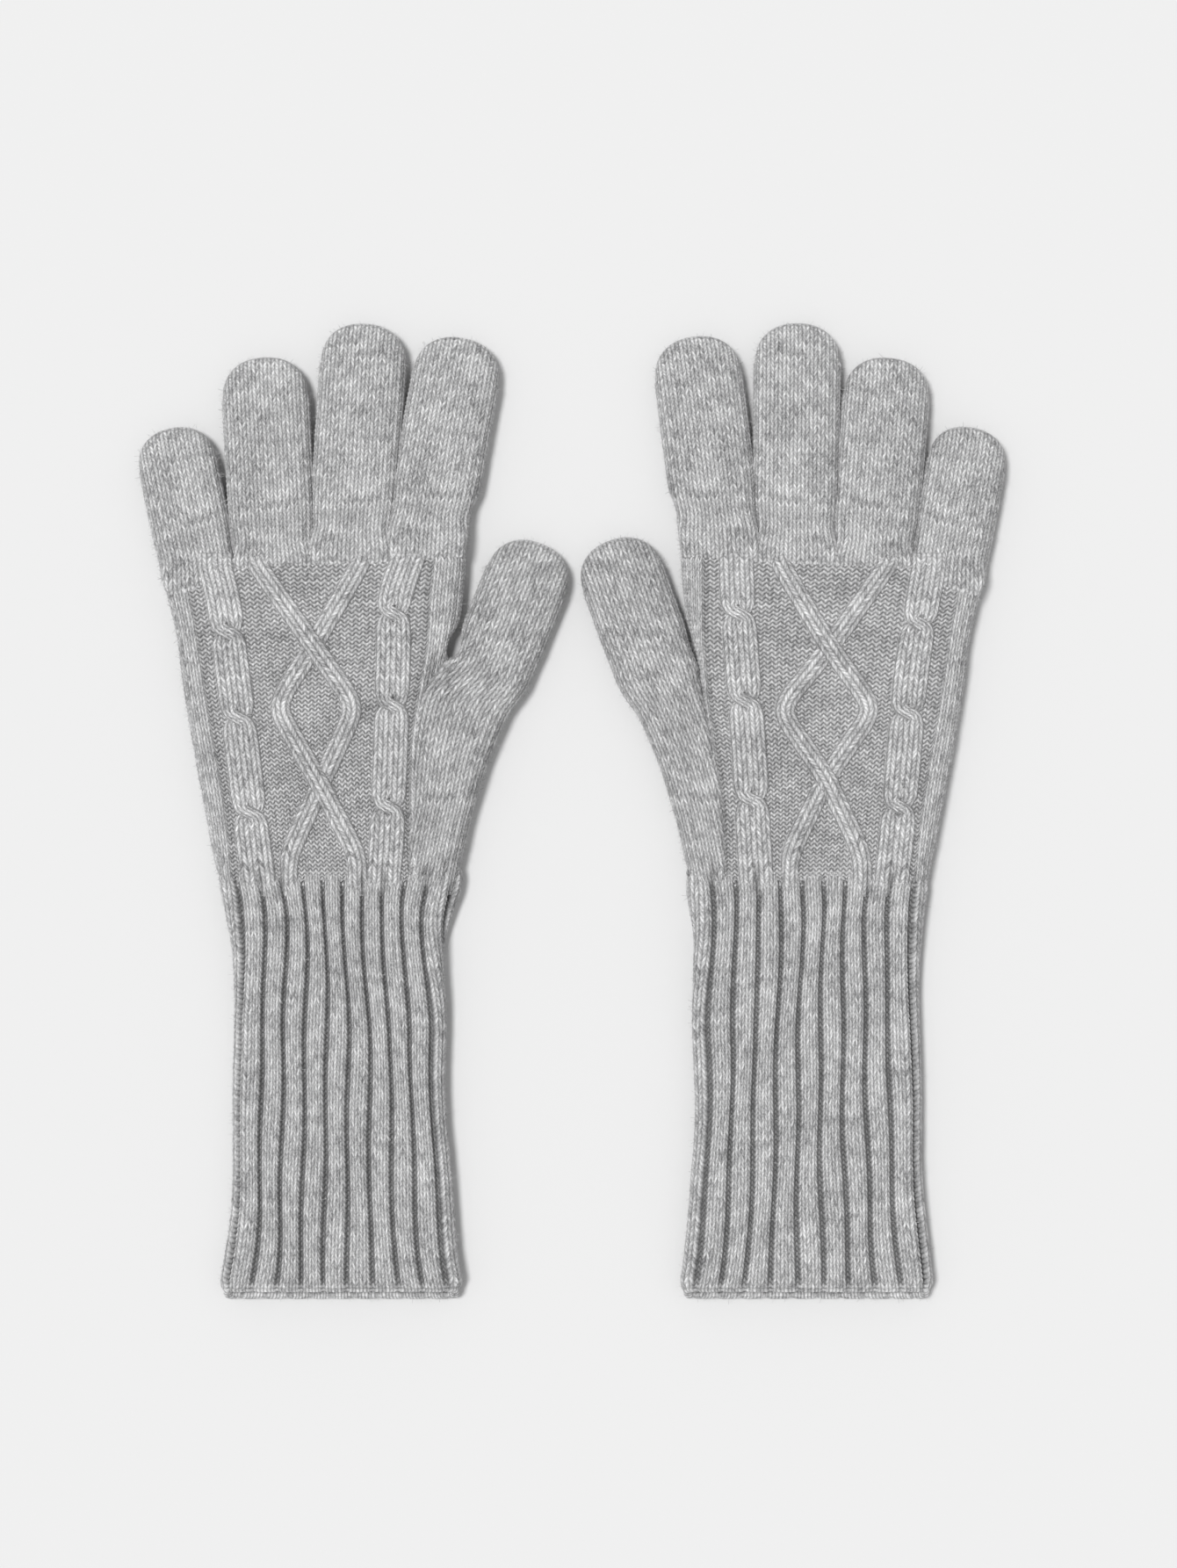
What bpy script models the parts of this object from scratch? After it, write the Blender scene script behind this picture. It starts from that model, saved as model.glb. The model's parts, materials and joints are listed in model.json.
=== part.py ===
"""A pair of long knitted five-finger gloves, lying flat on their palms side by side.

Each glove is worked as separate knitted tubes joined where their stitches meet: four finger tubes and a thumb
tube, closed at the tips, the hand tube with its thumb gusset, the ribbed cuff, and the rolled welt that starts
the cuff.  Every tube is a hollow shell, so a hand can go in at the welt and out into each digit.

Sizes are in metres.  A glove is drawn in its own frame: the origin is under the middle of the cuff's open end,
+Y runs to the fingertips, +X to the thumb side and +Z up from the surface that it lies on.  The right glove is
the left one mirrored, and each glove has its own small differences in how it was laid down.
"""

import math

import bmesh
import bpy
from mathutils import Matrix, Vector

# ---------------------------------------------------------------- driving dimensions

KNIT_WALL = 0.0016          # thickness of one layer of the knit
SEAM_GAP = 0.0003           # between two tubes that meet at a row of stitches

CUFF_LENGTH = 0.130         # ribbed part, above the welt
CUFF_THICKNESS = 0.0110
CUFF_TOP_HALF_WIDTH = 0.0376
CUFF_WAIST_SHARE = 0.64     # where the cuff is narrowest, as a share of its length
WELT_HEIGHT = 0.0040

HAND_THICKNESS = 0.0120
HAND_LENGTH = 0.105         # wrist to the middle of the finger line
FINGER_LINE_SLOPE = math.radians(11.3)
FINGER_LINE_SHIFT = -0.0078  # the finger line's middle lies this far to the little finger's side of the cuff

DIGIT_THICKNESS = 0.0110
DIGIT_GAP = 0.0012          # between neighbouring digits at their bases

# base_width is measured across the digit where it leaves the hand, width where it is widest
FINGERS = {
    "little_finger": {"base_width": 0.0225, "width": 0.0248, "length": 0.0462},
    "ring_finger": {"base_width": 0.0238, "width": 0.0274, "length": 0.0628},
    "middle_finger": {"base_width": 0.0239, "width": 0.0272, "length": 0.0688},
    "index_finger": {"base_width": 0.0245, "width": 0.0276, "length": 0.0600},
}

THUMB_WIDTH = 0.0256
THUMB_LENGTH = 0.0412
CROTCH_RISE = 0.073         # from the wrist up to the fork between thumb and hand
CROTCH_REACH = 0.0354       # from the cuff's middle out to that fork

TIP_ROUNDING = 0.92         # length of a digit's rounded end, in half widths
PAIR_GAP = 0.0045           # between the two thumbs

GLOVES = {
    "left": {
        "side": 1,
        "cuff_hem_half_width": 0.0374,
        "cuff_waist_half_width": 0.0325,
        "thumb_lean_deg": 22,
        "lean_deg": {"little_finger": -11.6, "ring_finger": -3.2, "middle_finger": 3.9, "index_finger": 10.2},
    },
    "right": {
        "side": -1,
        "cuff_hem_half_width": 0.0397,
        "cuff_waist_half_width": 0.0346,
        "thumb_lean_deg": 20,
        "lean_deg": {"little_finger": -10.2, "ring_finger": -5.0, "middle_finger": -0.6, "index_finger": 7.4},
    },
}

WOOL = {"colour": (0.43, 0.43, 0.435, 1.0), "roughness": 0.95, "metallic": 0.0}

# facets
ARC_STEPS = 5               # across each rounded side of a tube
FLAT_STEPS = 2              # across each flat face of a tube
TIP_ANGLES = (0, 28, 52, 72)  # degrees round a closed tip, before its small end facet
BLEND_LENGTH = 0.011        # over which a digit turns from the finger line's slope to square across

WRIST_Y = WELT_HEIGHT + SEAM_GAP + CUFF_LENGTH


# ---------------------------------------------------------------- rings and lofts

def tube_ring(start, end, thickness, inset=0.0, lift=0.0):
    """Points round an upright flat ring with round sides, whose widest line runs from start to end in plan.

    inset moves the whole ring inwards, for the inside of a wall.  lift raises its underside.
    """
    start, end = Vector(start), Vector(end)
    across = (end - start).normalized()
    middle = (start + end) / 2
    half_width = (end - start).length / 2 - inset
    radius = min(thickness / 2 - inset, half_width)
    centre_z = lift + thickness / 2
    straight = half_width - radius
    profile = []
    for sign in (1, -1):
        for step in range(ARC_STEPS + 1):
            angle = math.pi / 2 - math.pi * step / ARC_STEPS
            profile.append((sign * (straight + radius * math.cos(angle)), sign * radius * math.sin(angle)))
        for step in range(1, FLAT_STEPS):
            share = 1 - 2 * step / FLAT_STEPS
            profile.append((sign * straight * share, -sign * radius))
    return [Vector((middle.x + across.x * u, middle.y + across.y * u, centre_z + w)) for u, w in profile]


def skin(mesh, rings):
    """Quads between each ring and the next; returns the rings' vertices."""
    rows = [[mesh.verts.new(point) for point in ring] for ring in rings]
    count = len(rows[0])
    for lower, upper in zip(rows, rows[1:]):
        for i in range(count):
            j = (i + 1) % count
            mesh.faces.new((lower[i], lower[j], upper[j], upper[i]))
    return rows


def rim(mesh, outer, inner):
    """The flat ring of cut fabric between a tube's outside and its inside."""
    count = len(outer)
    for i in range(count):
        j = (i + 1) % count
        mesh.faces.new((outer[i], outer[j], inner[j], inner[i]))


def shell_mesh(name, outer_rings, inner_rings, closed_end):
    """A hollow tube: open at its first ring, and at its last one too unless closed_end is set."""
    mesh = bmesh.new()
    outer = skin(mesh, outer_rings)
    inner = skin(mesh, inner_rings)
    rim(mesh, outer[0], inner[0])
    if closed_end:
        mesh.faces.new(outer[-1])
        mesh.faces.new(inner[-1])
    else:
        rim(mesh, outer[-1], inner[-1])
    return finished(name, mesh)


def solid_mesh(name, rings):
    """A tube capped at both ends, used to cut or to join."""
    mesh = bmesh.new()
    rows = skin(mesh, rings)
    mesh.faces.new(rows[0])
    mesh.faces.new(rows[-1])
    return finished(name, mesh)


def finished(name, mesh):
    bmesh.ops.recalc_face_normals(mesh, faces=mesh.faces)
    data = bpy.data.meshes.new(name)
    mesh.to_mesh(data)
    mesh.free()
    return data


# ---------------------------------------------------------------- places in a glove's own frame

def finger_places():
    """For each finger, the middle of its base on the finger line, and its share of that line."""
    slope = Vector((math.cos(FINGER_LINE_SLOPE), math.sin(FINGER_LINE_SLOPE)))
    centre = Vector((FINGER_LINE_SHIFT, WRIST_Y + HAND_LENGTH))
    total = sum(finger["base_width"] + DIGIT_GAP for finger in FINGERS.values())
    along = -total / 2
    places = {}
    for name, finger in FINGERS.items():
        span = finger["base_width"] + DIGIT_GAP
        places[name] = {"base": centre + slope * (along + span / 2), "slope": slope}
        along += span
    ends = (centre - slope * total / 2, centre + slope * total / 2)
    return places, ends


def thumb_place(glove):
    """The thumb's mouth: its inner corner at the fork, its outer corner, and the middle of its base."""
    lean = math.radians(glove["thumb_lean_deg"])
    fork = Vector((CROTCH_REACH, WRIST_Y + CROTCH_RISE))
    across = Vector((math.cos(lean), -math.sin(lean)))
    outer = fork + across * (THUMB_WIDTH + 2 * DIGIT_GAP)
    return {"fork": fork, "outer": outer, "base": (fork + outer) / 2, "slope": across, "lean": lean}


def thumb_reach(glove):
    """How far the thumb's tip comes out from the middle of the cuff."""
    place = thumb_place(glove)
    forward = Vector((math.sin(place["lean"]), math.cos(place["lean"])))
    side_end = place["base"] + place["slope"] * THUMB_WIDTH / 2
    rounded = TIP_ROUNDING * THUMB_WIDTH / 2
    return (side_end + forward * (THUMB_LENGTH - 0.75 * rounded)).x


# ---------------------------------------------------------------- the pieces

def digit_rings(width, base_width, length, base_slope, inset):
    """Rings of a closed digit in its own frame: base at the origin, +Y along it, base cut along base_slope."""
    half = width / 2
    rounded = TIP_ROUNDING * half
    body = max(length - rounded, 1.2 * BLEND_LENGTH)
    reach = base_width / 2
    rings = [tube_ring(-base_slope * reach, base_slope * reach, DIGIT_THICKNESS, inset)]
    for share in (0, 0.5, 1):
        y = BLEND_LENGTH + (body - BLEND_LENGTH) * share
        wide = reach + (half - reach) * min(1, share * 2)
        rings.append(tube_ring((-wide, y), (wide, y), DIGIT_THICKNESS, inset))
    for angle in TIP_ANGLES[1:]:
        turn = math.radians(angle)
        wide = half * math.cos(turn)
        y = body + (rounded - inset) * math.sin(turn)
        thin = DIGIT_THICKNESS * (0.55 + 0.45 * math.cos(turn))
        lift = (DIGIT_THICKNESS - thin) / 2
        rings.append(tube_ring((-wide, y), (wide, y), thin, inset, lift))
    return rings


def cuff_rings(glove, inset):
    """Rings of the cuff from its hem up to the wrist, drawn in at its waist."""
    heights = (0, 0.12, 0.30, CUFF_WAIST_SHARE, 0.86, 1)
    hem, waist = glove["cuff_hem_half_width"], glove["cuff_waist_half_width"]
    rings = []
    for share in heights:
        outer = hem if share < CUFF_WAIST_SHARE else CUFF_TOP_HALF_WIDTH
        run = CUFF_WAIST_SHARE if share < CUFF_WAIST_SHARE else 1 - CUFF_WAIST_SHARE
        bend = abs(share - CUFF_WAIST_SHARE) / run
        wide = waist + (outer - waist) * bend ** 1.7
        y = WELT_HEIGHT + SEAM_GAP + CUFF_LENGTH * share
        rings.append(tube_ring((-wide, y), (wide, y), CUFF_THICKNESS, inset))
    return rings


def welt_rings(glove, inset):
    """Rings of the welt, which flares very slightly at the open end."""
    wide = glove["cuff_hem_half_width"]
    flare = 0.0004
    return [
        tube_ring((-wide - flare, 0), (wide + flare, 0), CUFF_THICKNESS, inset),
        tube_ring((-wide, WELT_HEIGHT), (wide, WELT_HEIGHT), CUFF_THICKNESS, inset),
    ]


def hand_outline(glove):
    """The hand tube's side points, each pair from the little finger's side to the thumb's side, wrist first."""
    little_end, index_end = finger_places()[1]
    fork = thumb_place(glove)["fork"]
    wrist = WRIST_Y + SEAM_GAP
    wide = CUFF_TOP_HALF_WIDTH
    little_wrist, thumb_wrist = Vector((-wide, wrist)), Vector((wide, wrist))
    above = fork + (index_end - fork) * 0.4 + Vector((0.0005, 0))
    inside = Vector((fork.x + 0.0035, fork.y - 0.028))

    def little_side(share):
        sag = Vector((0.0022, 0)) * math.sin(math.pi * share)
        return little_wrist.lerp(little_end, share) + sag

    return [
        (little_wrist, thumb_wrist),
        (little_side(0.16), Vector((wide + 0.0033, wrist + 0.016))),
        (little_side(0.46), inside),
        (little_side(0.76), fork),
        (little_side(0.9), above),
        (little_end, index_end),
    ]


def gusset_outline(glove):
    """The gusset that widens the hand to the thumb's mouth, from inside the hand outwards."""
    place = thumb_place(glove)
    low_outer = hand_outline(glove)[1][1] - Vector((0.0004, 0))
    low_inner = low_outer - Vector((THUMB_WIDTH * 0.9, 0))
    pairs = []
    for share in (0, 0.35, 0.7, 1):
        hollow = Vector((-0.0016, 0)) * math.sin(math.pi * share)
        pairs.append((low_inner.lerp(place["fork"], share), low_outer.lerp(place["outer"], share) + hollow))
    return pairs


def rings_along(pairs, thickness, inset, lift=0.0, overrun=0.0):
    """Rings through pairs of side points.  overrun lengthens both ends, so that a cutter passes the faces."""
    rings = [tube_ring(a, b, thickness, inset, lift) for a, b in pairs]
    if overrun:
        for end, inner in ((0, 1), (-1, -2)):
            (a, b), (c, d) = pairs[end], pairs[inner]
            outwards = ((a + b) / 2 - (c + d) / 2).normalized() * overrun
            extra = tube_ring(a + outwards, b + outwards, thickness, inset, lift)
            rings.insert(0 if end == 0 else len(rings), extra)
    return rings


def boolean(target, other, operation):
    """Adds a live Boolean to target, and hides other as its helper."""
    modifier = target.modifiers.new(f"{operation.lower()} {other.name}", "BOOLEAN")
    modifier.operation = operation
    modifier.object = other
    modifier.solver = "EXACT"
    other.hide_render = True
    other.display_type = "WIRE"


# ---------------------------------------------------------------- building a glove

def mirrored(data, side):
    """Turns a left-hand mesh into a right-hand one."""
    if side < 0:
        data.transform(Matrix.Diagonal((-1, 1, 1, 1)))
        data.flip_normals()
    return data


def add_object(name, data, parent, location=(0, 0, 0), turn=0.0):
    """Links a smooth-shaded object under its glove's empty, with its origin at location."""
    data.materials.append(bpy.data.materials["wool"])
    data.shade_smooth()
    data.set_sharp_from_angle(angle=math.radians(50))
    obj = bpy.data.objects.new(name, data)
    bpy.context.scene.collection.objects.link(obj)
    obj.parent = parent
    obj.location = location
    obj.rotation_euler.z = turn
    return obj


def add_digit(glove_name, glove, parent, name, sizes, place, lean):
    """A finger or thumb, with its origin on the line under its base that it bends about, at the palm."""
    side = glove["side"]
    local_slope = place["slope"].copy()
    local_slope.rotate(Matrix.Rotation(lean, 2))
    shapes = [
        digit_rings(sizes["width"], sizes["base_width"], sizes["length"], local_slope, inset)
        for inset in (0, KNIT_WALL)
    ]
    start = Vector((0, SEAM_GAP / math.cos(lean), 0))
    shapes = [[[point + start for point in ring] for ring in rings] for rings in shapes]
    data = mirrored(shell_mesh(f"{glove_name}_{name}", *shapes, closed_end=True), side)
    base = place["base"]
    location = (side * base.x, base.y, 0)
    return add_object(f"{glove_name}_{name}", data, parent, location, -side * lean)


def add_hand(glove_name, glove, parent):
    """The hand tube: hand and gusset joined, then hollowed through the wrist, the finger line and the thumb."""
    side = glove["side"]
    hand, gusset = hand_outline(glove), gusset_outline(glove)
    gusset_lift = 0.0004
    gusset_thickness = HAND_THICKNESS - 2 * gusset_lift
    outside = solid_mesh("hand", rings_along(hand, HAND_THICKNESS, 0))
    gusset_outside = solid_mesh("gusset", rings_along(gusset, gusset_thickness, 0, gusset_lift))
    hollow = solid_mesh("hand hollow", rings_along(hand, HAND_THICKNESS, KNIT_WALL, overrun=0.004))
    thumb_hollow = solid_mesh(
        "thumb hollow", rings_along(gusset[1:], gusset_thickness, KNIT_WALL, gusset_lift, overrun=0.004)
    )
    body = add_object(f"{glove_name}_hand", mirrored(outside, side), parent)
    helpers = [
        (add_object(f"{glove_name} {data.name}", mirrored(data, side), parent), operation)
        for data, operation in ((gusset_outside, "UNION"), (hollow, "DIFFERENCE"), (thumb_hollow, "DIFFERENCE"))
    ]
    for helper, operation in helpers:
        boolean(body, helper, operation)
    return body


def add_glove(glove_name, glove):
    """One whole glove under its own empty, laid beside the other with their thumbs together."""
    side = glove["side"]
    frame = bpy.data.objects.new(f"{glove_name} glove", None)
    bpy.context.scene.collection.objects.link(frame)
    frame.location.x = -side * (thumb_reach(glove) + PAIR_GAP / 2)
    for name, rings in (("cuff_welt", welt_rings), ("cuff", cuff_rings)):
        shapes = [rings(glove, inset) for inset in (0, KNIT_WALL)]
        data = mirrored(shell_mesh(f"{glove_name}_{name}", *shapes, closed_end=False), side)
        add_object(f"{glove_name}_{name}", data, frame)
    add_hand(glove_name, glove, frame)
    places = finger_places()[0]
    for name, sizes in FINGERS.items():
        lean = math.radians(glove["lean_deg"][name])
        add_digit(glove_name, glove, frame, name, sizes, places[name], lean)
    thumb = {"width": THUMB_WIDTH, "base_width": THUMB_WIDTH, "length": THUMB_LENGTH}
    place = thumb_place(glove)
    add_digit(glove_name, glove, frame, "thumb", thumb, place, place["lean"])
    return frame


def centre_pair(frames):
    """Moves both gloves so that the origin is under the middle of the pair's bounding box."""
    bpy.context.view_layer.update()
    points = [
        obj.matrix_world @ vertex.co
        for obj in bpy.data.objects
        if obj.type == "MESH" and not obj.hide_render
        for vertex in obj.data.vertices
    ]
    for axis in (0, 1):
        values = [point[axis] for point in points]
        for frame in frames:
            frame.location[axis] -= (min(values) + max(values)) / 2
    bpy.context.view_layer.update()


def add_material():
    material = bpy.data.materials.new("wool")
    material.use_nodes = True
    material.diffuse_color = WOOL["colour"]
    surface = material.node_tree.nodes["Principled BSDF"]
    surface.inputs["Base Color"].default_value = WOOL["colour"]
    surface.inputs["Roughness"].default_value = WOOL["roughness"]
    surface.inputs["Metallic"].default_value = WOOL["metallic"]


def main():
    for obj in list(bpy.data.objects):
        bpy.data.objects.remove(obj, do_unlink=True)
    add_material()
    centre_pair([add_glove(name, glove) for name, glove in GLOVES.items()])


main()
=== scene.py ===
import json
import math

import bmesh
import bpy
import numpy as np
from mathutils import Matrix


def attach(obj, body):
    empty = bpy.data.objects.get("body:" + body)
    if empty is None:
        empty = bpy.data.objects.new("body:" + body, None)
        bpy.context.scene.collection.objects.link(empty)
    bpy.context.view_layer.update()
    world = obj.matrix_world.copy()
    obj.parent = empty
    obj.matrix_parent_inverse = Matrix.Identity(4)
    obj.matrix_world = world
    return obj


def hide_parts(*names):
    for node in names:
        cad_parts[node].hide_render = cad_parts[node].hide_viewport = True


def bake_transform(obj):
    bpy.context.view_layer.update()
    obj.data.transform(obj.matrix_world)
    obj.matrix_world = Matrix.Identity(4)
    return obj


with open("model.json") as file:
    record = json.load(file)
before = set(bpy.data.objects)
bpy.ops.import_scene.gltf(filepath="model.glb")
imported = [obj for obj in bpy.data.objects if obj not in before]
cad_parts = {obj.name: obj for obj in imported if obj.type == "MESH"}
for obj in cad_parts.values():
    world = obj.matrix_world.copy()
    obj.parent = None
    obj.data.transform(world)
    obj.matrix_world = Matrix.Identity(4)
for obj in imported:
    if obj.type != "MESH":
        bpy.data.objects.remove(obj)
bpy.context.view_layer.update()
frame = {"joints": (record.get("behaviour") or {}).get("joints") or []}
joints = {joint["name"]: joint for joint in frame["joints"]}
mm = 0.001

yarn = {
    "course": 1.45,          # height of one stitch
    "purlCourse": 1.42,
    "gussetCourse": 1.64,    # the thumb and its gusset are knitted a little looser
    "columns": 4,            # mesh columns in a stitch
    "rows": 3,               # mesh rows in a stitch
    "purlRows": 4,
    "slant": 1.40,           # how far a stitch's legs rise, in courses
    "purlWave": 0.36,        # the same for the purl's loops
}

# heights run from the wrist, and a pair in brackets is a height and the place across the hand at that height,
# but for the fork and the cables, where places across come before the height
gloves = {
    "left": {
        "side": 1, "seed": 3, "cuffHalf": (38.4, 36.2, 33.9, 32.4, 33.2, 36.4, 37.9), "thumbLean": 22.0,
        "wristRibs": (0.80, -2.3),    # how close the ribs stand at the wrist, and how far they lean
        "fork": (36.4, 74.0), "forkDepth": 1.0,
        "gussetLine": ((-8, 24.4), (-3, 24.0), (0, 23.6), (27, 22.8), (45, 23.4), (58, 25.6), (66, 29.0),
                       (73, 35.2)),
        "panelEdge": ((-8, 24.0), (0, 23.4), (27, 22.6), (45, 23.2), (58, 25.2), (72, 27.8), (89, 29.0),
                      (104, 30.6)),
        "lean": {"little_finger": -11.6, "ring_finger": -3.2, "middle_finger": 3.9, "index_finger": 10.2},
        "thumbColumn": ((22.0, 102), (18.0, 90), (17.2, 71), (16.3, 40), (15.0, 11), (14.2, -3)),
        "littleColumn": ((-39.5, 99), (-37.3, 90), (-33.7, 64), (-30.2, 36), (-27.5, 13.5), (-25.6, -3)),
        "thumbCrossings": (83.8, 54.7, 22.5), "littleCrossings": (77.9, 50.7, 20.5),
        "diamond": {"tops": (-26.0, 6.6), "first": (-8.2, 73.7), "wide": (-18.9, 4.1, 54.4),
                    "second": (-6.0, 29.5), "ends": (-16.1, 5.8)},
    },
    "right": {
        "side": -1, "seed": 11, "cuffHalf": (38.2, 37.0, 35.8, 34.8, 35.3, 38.4, 39.7), "thumbLean": 20.0,
        "wristRibs": (0.87, -1.8),
        "fork": (36.8, 74.0), "forkDepth": 0.25,
        "gussetLine": ((-8, 26.6), (0, 26.8), (28, 28.1), (45, 30.4), (58, 33.0), (66, 35.6), (73, 38.0)),
        "panelEdge": ((-8, 26.6), (0, 26.8), (28, 28.0), (45, 30.2), (58, 32.2), (72, 33.2), (89, 33.4),
                      (104, 33.4)),
        "lean": {"little_finger": -10.2, "ring_finger": -5.0, "middle_finger": -0.6, "index_finger": 7.4},
        "thumbColumn": ((22.6, 102), (22.3, 93), (20.8, 70), (18.5, 40), (16.9, 11), (16.0, -3)),
        "littleColumn": ((-38.6, 99), (-37.1, 90), (-33.3, 67), (-30.6, 38), (-28.1, 11), (-26.6, -3)),
        "thumbCrossings": (83.8, 56.1, 24.7), "littleCrossings": (80.7, 52.4, 22.5),
        "diamond": {"tops": (-25.6, 8.4), "first": (-7.1, 73.1), "wide": (-20.0, 7.7, 53.5),
                    "second": (-6.0, 31.7), "ends": (-17.6, 5.7)},
    },
}


def smooth(low, high, x):
    t = np.clip((np.asarray(x, float) - low) / (high - low), 0, 1)
    return t * t * (3 - 2 * t)


def softLine(points, at):
    # a smooth curve through points that each give a position and a value
    xs = np.array([p[0] for p in points], float)
    ys = np.array([p[1] for p in points], float)
    order = np.argsort(xs)
    xs, ys = xs[order], ys[order]
    slopes = np.gradient(ys, xs)
    at = np.clip(at, xs[0], xs[-1])
    i = np.clip(np.searchsorted(xs, at) - 1, 0, len(xs) - 2)
    h = xs[i + 1] - xs[i]
    t = (at - xs[i]) / h
    return ((1 + 2 * t) * (1 - t) ** 2 * ys[i] + t * (1 - t) ** 2 * h * slopes[i]
            + t * t * (3 - 2 * t) * ys[i + 1] + t * t * (t - 1) * h * slopes[i + 1])


def section(left, right, low, high, corner, s):
    # points of a flat tube's round-cornered section, at lengths s from the middle of its left side
    half, tall = (right - left) / 2, (high - low) / 2
    r = max(0.05, min(corner, half - 0.01, tall - 0.001))
    turn = np.linspace(0, math.pi / 2, 9)
    xs = [left] + list(left + r - r * np.cos(turn)) + list(right - r + r * np.sin(turn)) + [right]
    zs = [0] + list(tall - r + r * np.sin(turn)) + list(tall - r + r * np.cos(turn)) + [0]
    xs, zs = xs + xs[-2::-1], zs + [-z for z in zs[-2::-1]]
    length = np.concatenate(([0], np.cumsum(np.hypot(np.diff(xs), np.diff(zs)))))
    s = np.asarray(s)
    return np.interp(s, length, xs), np.interp(s, length, zs) + (low + high) / 2, length[-1]


def perimeter(left, right, low, high, corner):
    return section(left, right, low, high, corner, [0])[2]


def rowsIn(length, course, rowsPerCourse):
    return int(round(length / course * rowsPerCourse)) + 1


def sheared(points, wale, purl, rowsPerCourse):
    # slides each mesh column along the knitting so that rows zigzag as a stitch's two legs do
    phase = wale % 1.0
    leg = yarn["slant"] * (np.abs(2 * phase - 1) - 0.5)
    wave = yarn["purlWave"] * np.cos(2 * math.pi * phase)
    shift = (leg * (1 - purl) + wave * purl) * rowsPerCourse
    rows = len(points)
    count = np.arange(rows)
    ends = np.clip(np.minimum(count, rows - 1 - count) / 5, 0, 1)
    at = np.clip(count[:, None] + shift[None, :] * ends[:, None], 0, rows - 1)
    low = np.minimum(at.astype(int), rows - 2)
    t = (at - low)[..., None]
    columns = np.arange(points.shape[1])[None, :]
    return points[low, columns] * (1 - t) + points[low + 1, columns] * t


def toWorld(points, glove):
    wrist = joints[f"{glove}_wrist_bend"]["pos_m"]
    world = points * mm
    world[..., 0] = world[..., 0] * gloves[glove]["side"] + wrist[0]
    world[..., 1] += wrist[1]
    return world


def toLocal(point, glove):
    wrist = joints[f"{glove}_wrist_bend"]["pos_m"]
    return np.array([(point[0] - wrist[0]) * gloves[glove]["side"], point[1] - wrist[1]]) / mm


def gridMesh(name, glove, points, layers, caps=(True, True)):
    # a tube from rows of points, closed round its columns and capped at its ends
    rows, columns = points.shape[:2]
    coords = toWorld(points.copy(), glove).reshape(-1, 3)
    index = np.arange(rows * columns).reshape(rows, columns)
    nextIndex = np.roll(index, -1, axis=1)
    quads = np.stack([index[:-1], nextIndex[:-1], nextIndex[1:], index[1:]], axis=-1).reshape(-1, 4)
    mesh = bpy.data.meshes.new(name)
    faces = [tuple(q) for q in quads.tolist()]
    extra = []
    for end, wanted in ((0, caps[0]), (rows - 1, caps[1])):
        if wanted:
            centre = len(coords) + len(extra)
            extra.append(coords[index[end]].mean(axis=0))
            rim = index[end].tolist()
            faces += [(rim[j], rim[(j + 1) % columns], centre) for j in range(columns)]
    if extra:
        coords = np.vstack([coords, extra])
    mesh.from_pydata(coords.tolist(), [], faces)
    for key, values in layers.items():
        flat = np.concatenate([np.broadcast_to(values, (rows, columns)).reshape(-1), np.zeros(len(extra))])
        mesh.attributes.new(key, "FLOAT", "POINT").data.foreach_set("value", flat.astype(np.float32))
    work = bmesh.new()
    work.from_mesh(mesh)
    bmesh.ops.remove_doubles(work, verts=work.verts, dist=1.5e-5)
    bmesh.ops.dissolve_degenerate(work, edges=work.edges, dist=1e-6)
    bmesh.ops.recalc_face_normals(work, faces=work.faces)
    work.to_mesh(mesh)
    work.free()
    obj = bpy.data.objects.new(name, mesh)
    bpy.context.scene.collection.objects.link(obj)
    return obj


def feed(tree, node, inputs):
    # gives a node its inputs, each a value or a link
    for key, value in inputs.items():
        if isinstance(value, bpy.types.NodeSocket):
            tree.links.new(value, node.inputs[key])
        else:
            node.inputs[key].default_value = value
    return node


def made(tree, kind, inputs=None, **settings):
    node = tree.nodes.new(kind)
    for key, value in settings.items():
        setattr(node, key, value)
    return feed(tree, node, inputs or {})


def maths(tree, operation, *values, clamp=False):
    node = made(tree, "ShaderNodeMath", dict(enumerate(values)), operation=operation, use_clamp=clamp)
    return node.outputs[0]


def namedValue(tree, name):
    node = made(tree, "GeometryNodeInputNamedAttribute", {"Name": name}, data_type="FLOAT")
    return node.outputs["Attribute"]


def purlLoops(tree, p, q):
    # one row of short round loops to a course, a little higher where two stitches meet
    rise = maths(tree, "SINE", maths(tree, "MULTIPLY", q, math.pi))
    along = maths(tree, "COSINE", maths(tree, "MULTIPLY", p, 4 * math.pi))
    return maths(tree, "MULTIPLY", rise, maths(tree, "MULTIPLY_ADD", along, 0.20, 0.80))


stitchSizes = {"Knit Height": 0.62 * mm, "Purl Height": 1.15 * mm, "Rib Height": 2.0 * mm,
               "Unevenness": 0.25 * mm, "Unevenness Scale": 95.0,
               "Fibre Density": 420000.0, "Fibre Length": 1.5 * mm, "Fibre Width": 0.06 * mm}
ribHeight = stitchSizes["Rib Height"] / mm
none, full = np.zeros((1, 1)), np.ones((1, 1))    # a stitch value that is the same all over a piece


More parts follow.
